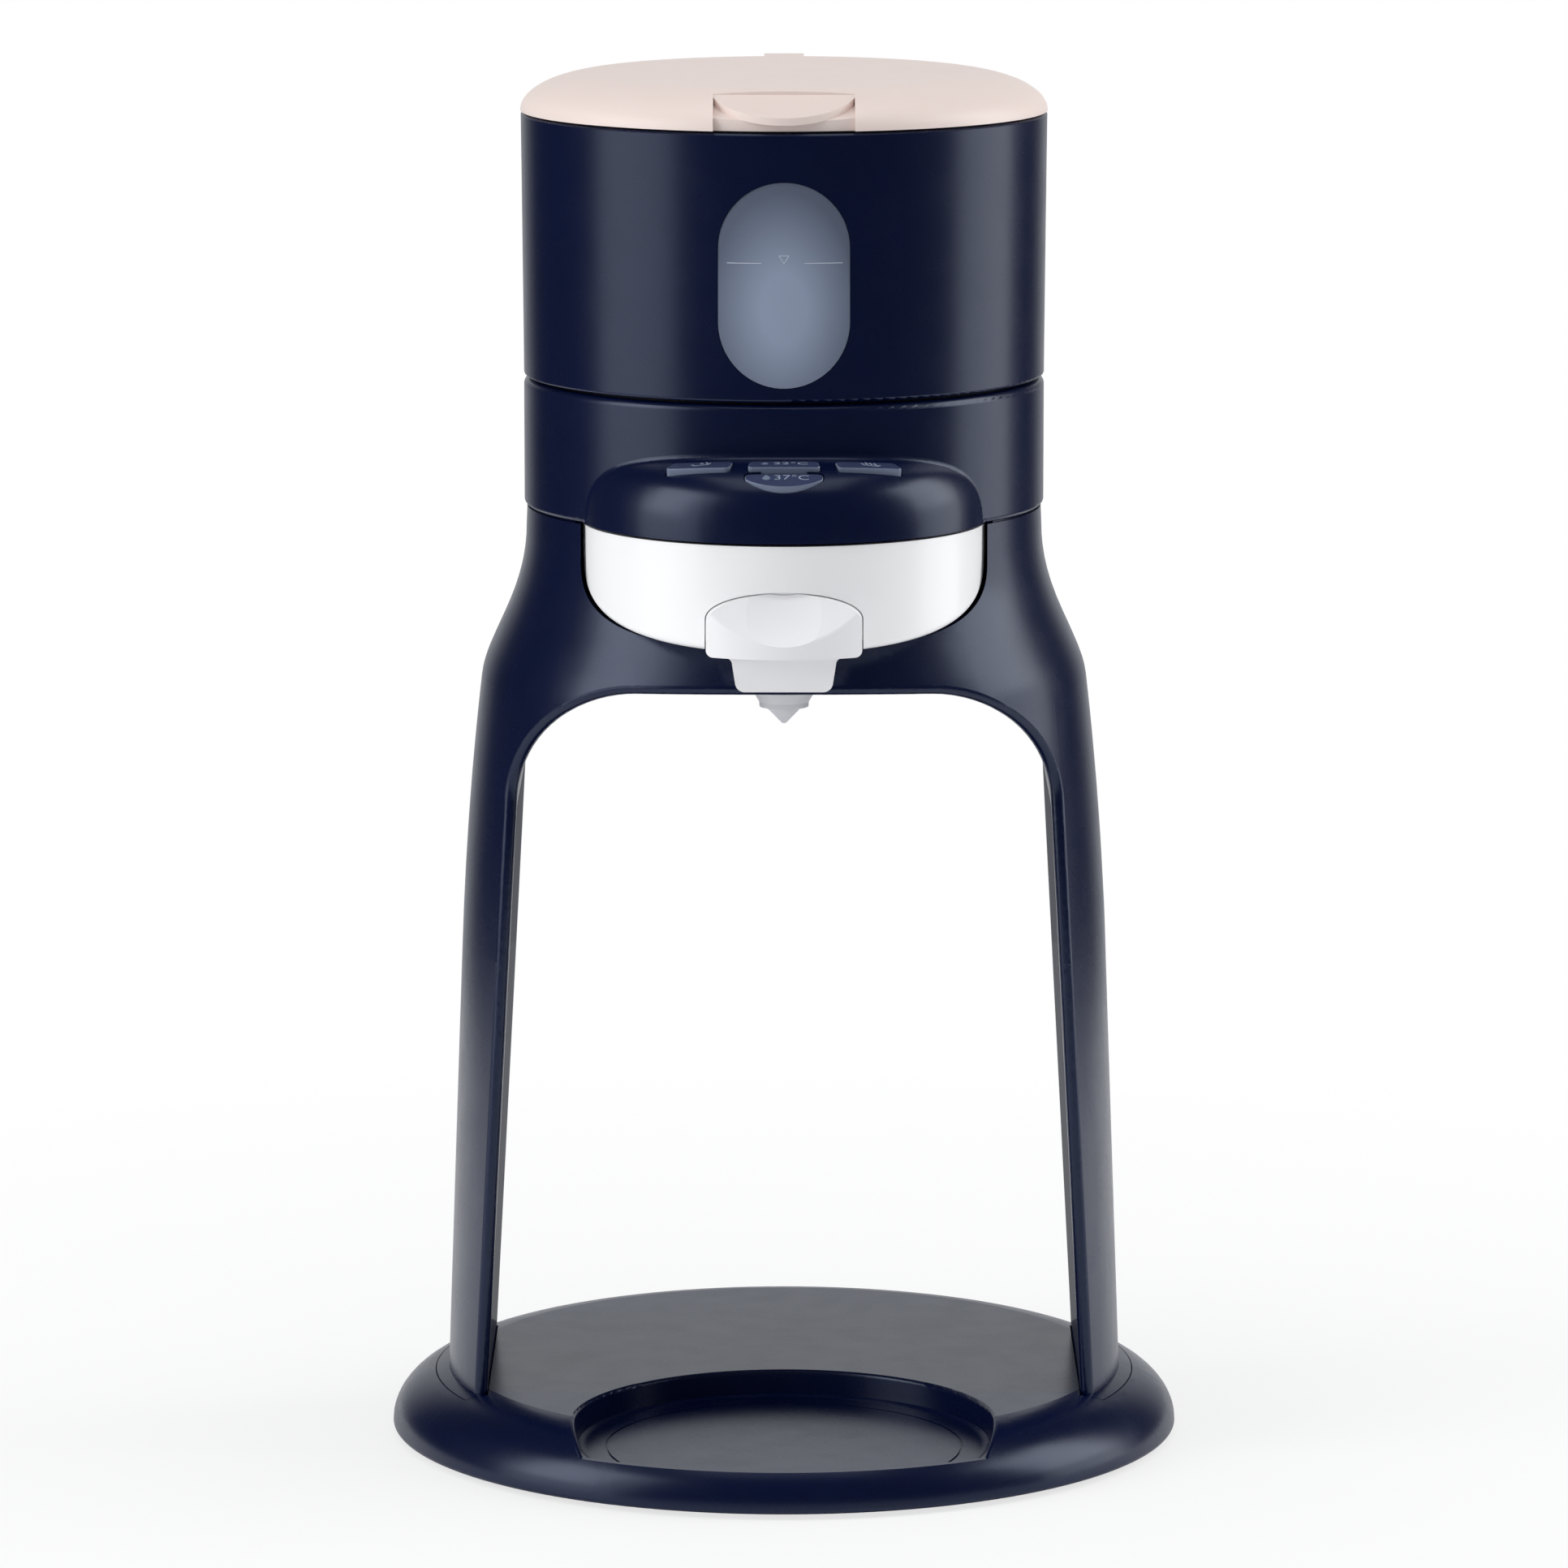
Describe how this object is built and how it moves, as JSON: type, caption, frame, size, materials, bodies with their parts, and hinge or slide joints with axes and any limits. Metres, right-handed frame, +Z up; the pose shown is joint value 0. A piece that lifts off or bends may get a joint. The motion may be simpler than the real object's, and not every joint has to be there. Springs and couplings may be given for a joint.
{
  "type": "baby formula maker",
  "caption": "Countertop baby formula maker: lift-off water tank on an arched stand, powder drawer under a domed control panel, spout over a round bottle base.",
  "frame": {"origin": "middle of the base, on the surface that the rubber feet stand on", "axes": "+Z up, the bottle pocket, the drawer and the controls face -Y, +X to the right of someone who faces the machine"},
  "size_m": [0.1854, 0.1854, 0.3221],
  "materials": {
    "navy_satin": "satin, fine grain",
    "navy_gloss": "gloss",
    "white_gloss": "gloss",
    "lid_pink": "satin",
    "window_plastic": "frosted, translucent",
    "button_slate": "satin top, translucent sides",
    "clear_silicone": "translucent silicone",
    "black_rubber": "matt",
    "black_plastic": "matt",
    "grey_plastic": "matt",
    "board_green": "solder mask",
    "heater_alloy": "cast",
    "screw_steel": "zinc plated"
  },
  "bodies": {
    "stand": {"base_shell": "navy_satin", "base_cover": "black_plastic", "rubber_feet": "black_rubber", "cover_screws": "screw_steel", "leg_screws": "screw_steel", "leg_frame": "navy_satin", "leg_liner_right": "navy_gloss", "leg_liner_left": "navy_gloss", "head_housing": "navy_satin", "head_chassis": "grey_plastic", "head_deck": "navy_satin", "deck_screws": "screw_steel", "spray_head": "white_gloss", "mixing_gasket": "clear_silicone", "inlet_socket": "grey_plastic", "inlet_seal": "clear_silicone", "button_guide": "grey_plastic", "control_board": "board_green", "pump": "grey_plastic", "heater": "heater_alloy", "water_hoses": "clear_silicone", "power_board": "board_green", "cable_entry": "black_rubber", "drawer_runners": "grey_plastic", "silicone_nozzle": "clear_silicone"},
    "drawer": {"powder_bowl": "white_gloss", "spout_carrier": "white_gloss"},
    "tank": {"tank_shell": "navy_satin", "reservoir": "window_plastic", "valve_spring": "screw_steel", "hinge_pin": "screw_steel"},
    "valve": {"valve_poppet": "white_gloss"},
    "lid": {"lid": "lid_pink", "lid_gasket": "clear_silicone"},
    "button_left": {"button_left": "button_slate"},
    "button_middle": {"button_middle": "button_slate"},
    "button_right": {"button_right": "button_slate"},
    "button_front": {"button_front": "button_slate"}
  },
  "joints": [
    {"name": "tank_lift", "type": "slide", "parent": "stand", "child": "tank", "axis": [0, 0, 1], "range_m": [0, 0.08]},
    {"name": "tank_valve", "type": "slide", "parent": "tank", "child": "valve", "axis": [0, 0, 1], "range_m": [-0.003, 0], "deforming": ["valve_spring"]},
    {"name": "lid_hinge", "type": "hinge", "parent": "tank", "child": "lid", "pos_m": [0, 0.0596, 0.3156], "axis": [-1, 0, 0], "range_deg": [0, 105]},
    {"name": "drawer_slide", "type": "slide", "parent": "stand", "child": "drawer", "axis": [0, -1, 0], "range_m": [0, 0.075]},
    {"name": "button_left_press", "type": "slide", "parent": "stand", "child": "button_left", "axis": [0, 0.4067, -0.9135], "range_m": [0, 0.001], "stiffness_N_per_m": 300},
    {"name": "button_middle_press", "type": "slide", "parent": "stand", "child": "button_middle", "axis": [0, 0.4067, -0.9135], "range_m": [0, 0.001], "stiffness_N_per_m": 300},
    {"name": "button_right_press", "type": "slide", "parent": "stand", "child": "button_right", "axis": [0, 0.4067, -0.9135], "range_m": [0, 0.001], "stiffness_N_per_m": 300},
    {"name": "button_front_press", "type": "slide", "parent": "stand", "child": "button_front", "axis": [0, 0.4067, -0.9135], "range_m": [0, 0.001], "stiffness_N_per_m": 300}
  ],
  "couplings": [
    {"joint": "tank_valve", "follows": "tank_lift", "ratio": -0.0375}
  ]
}
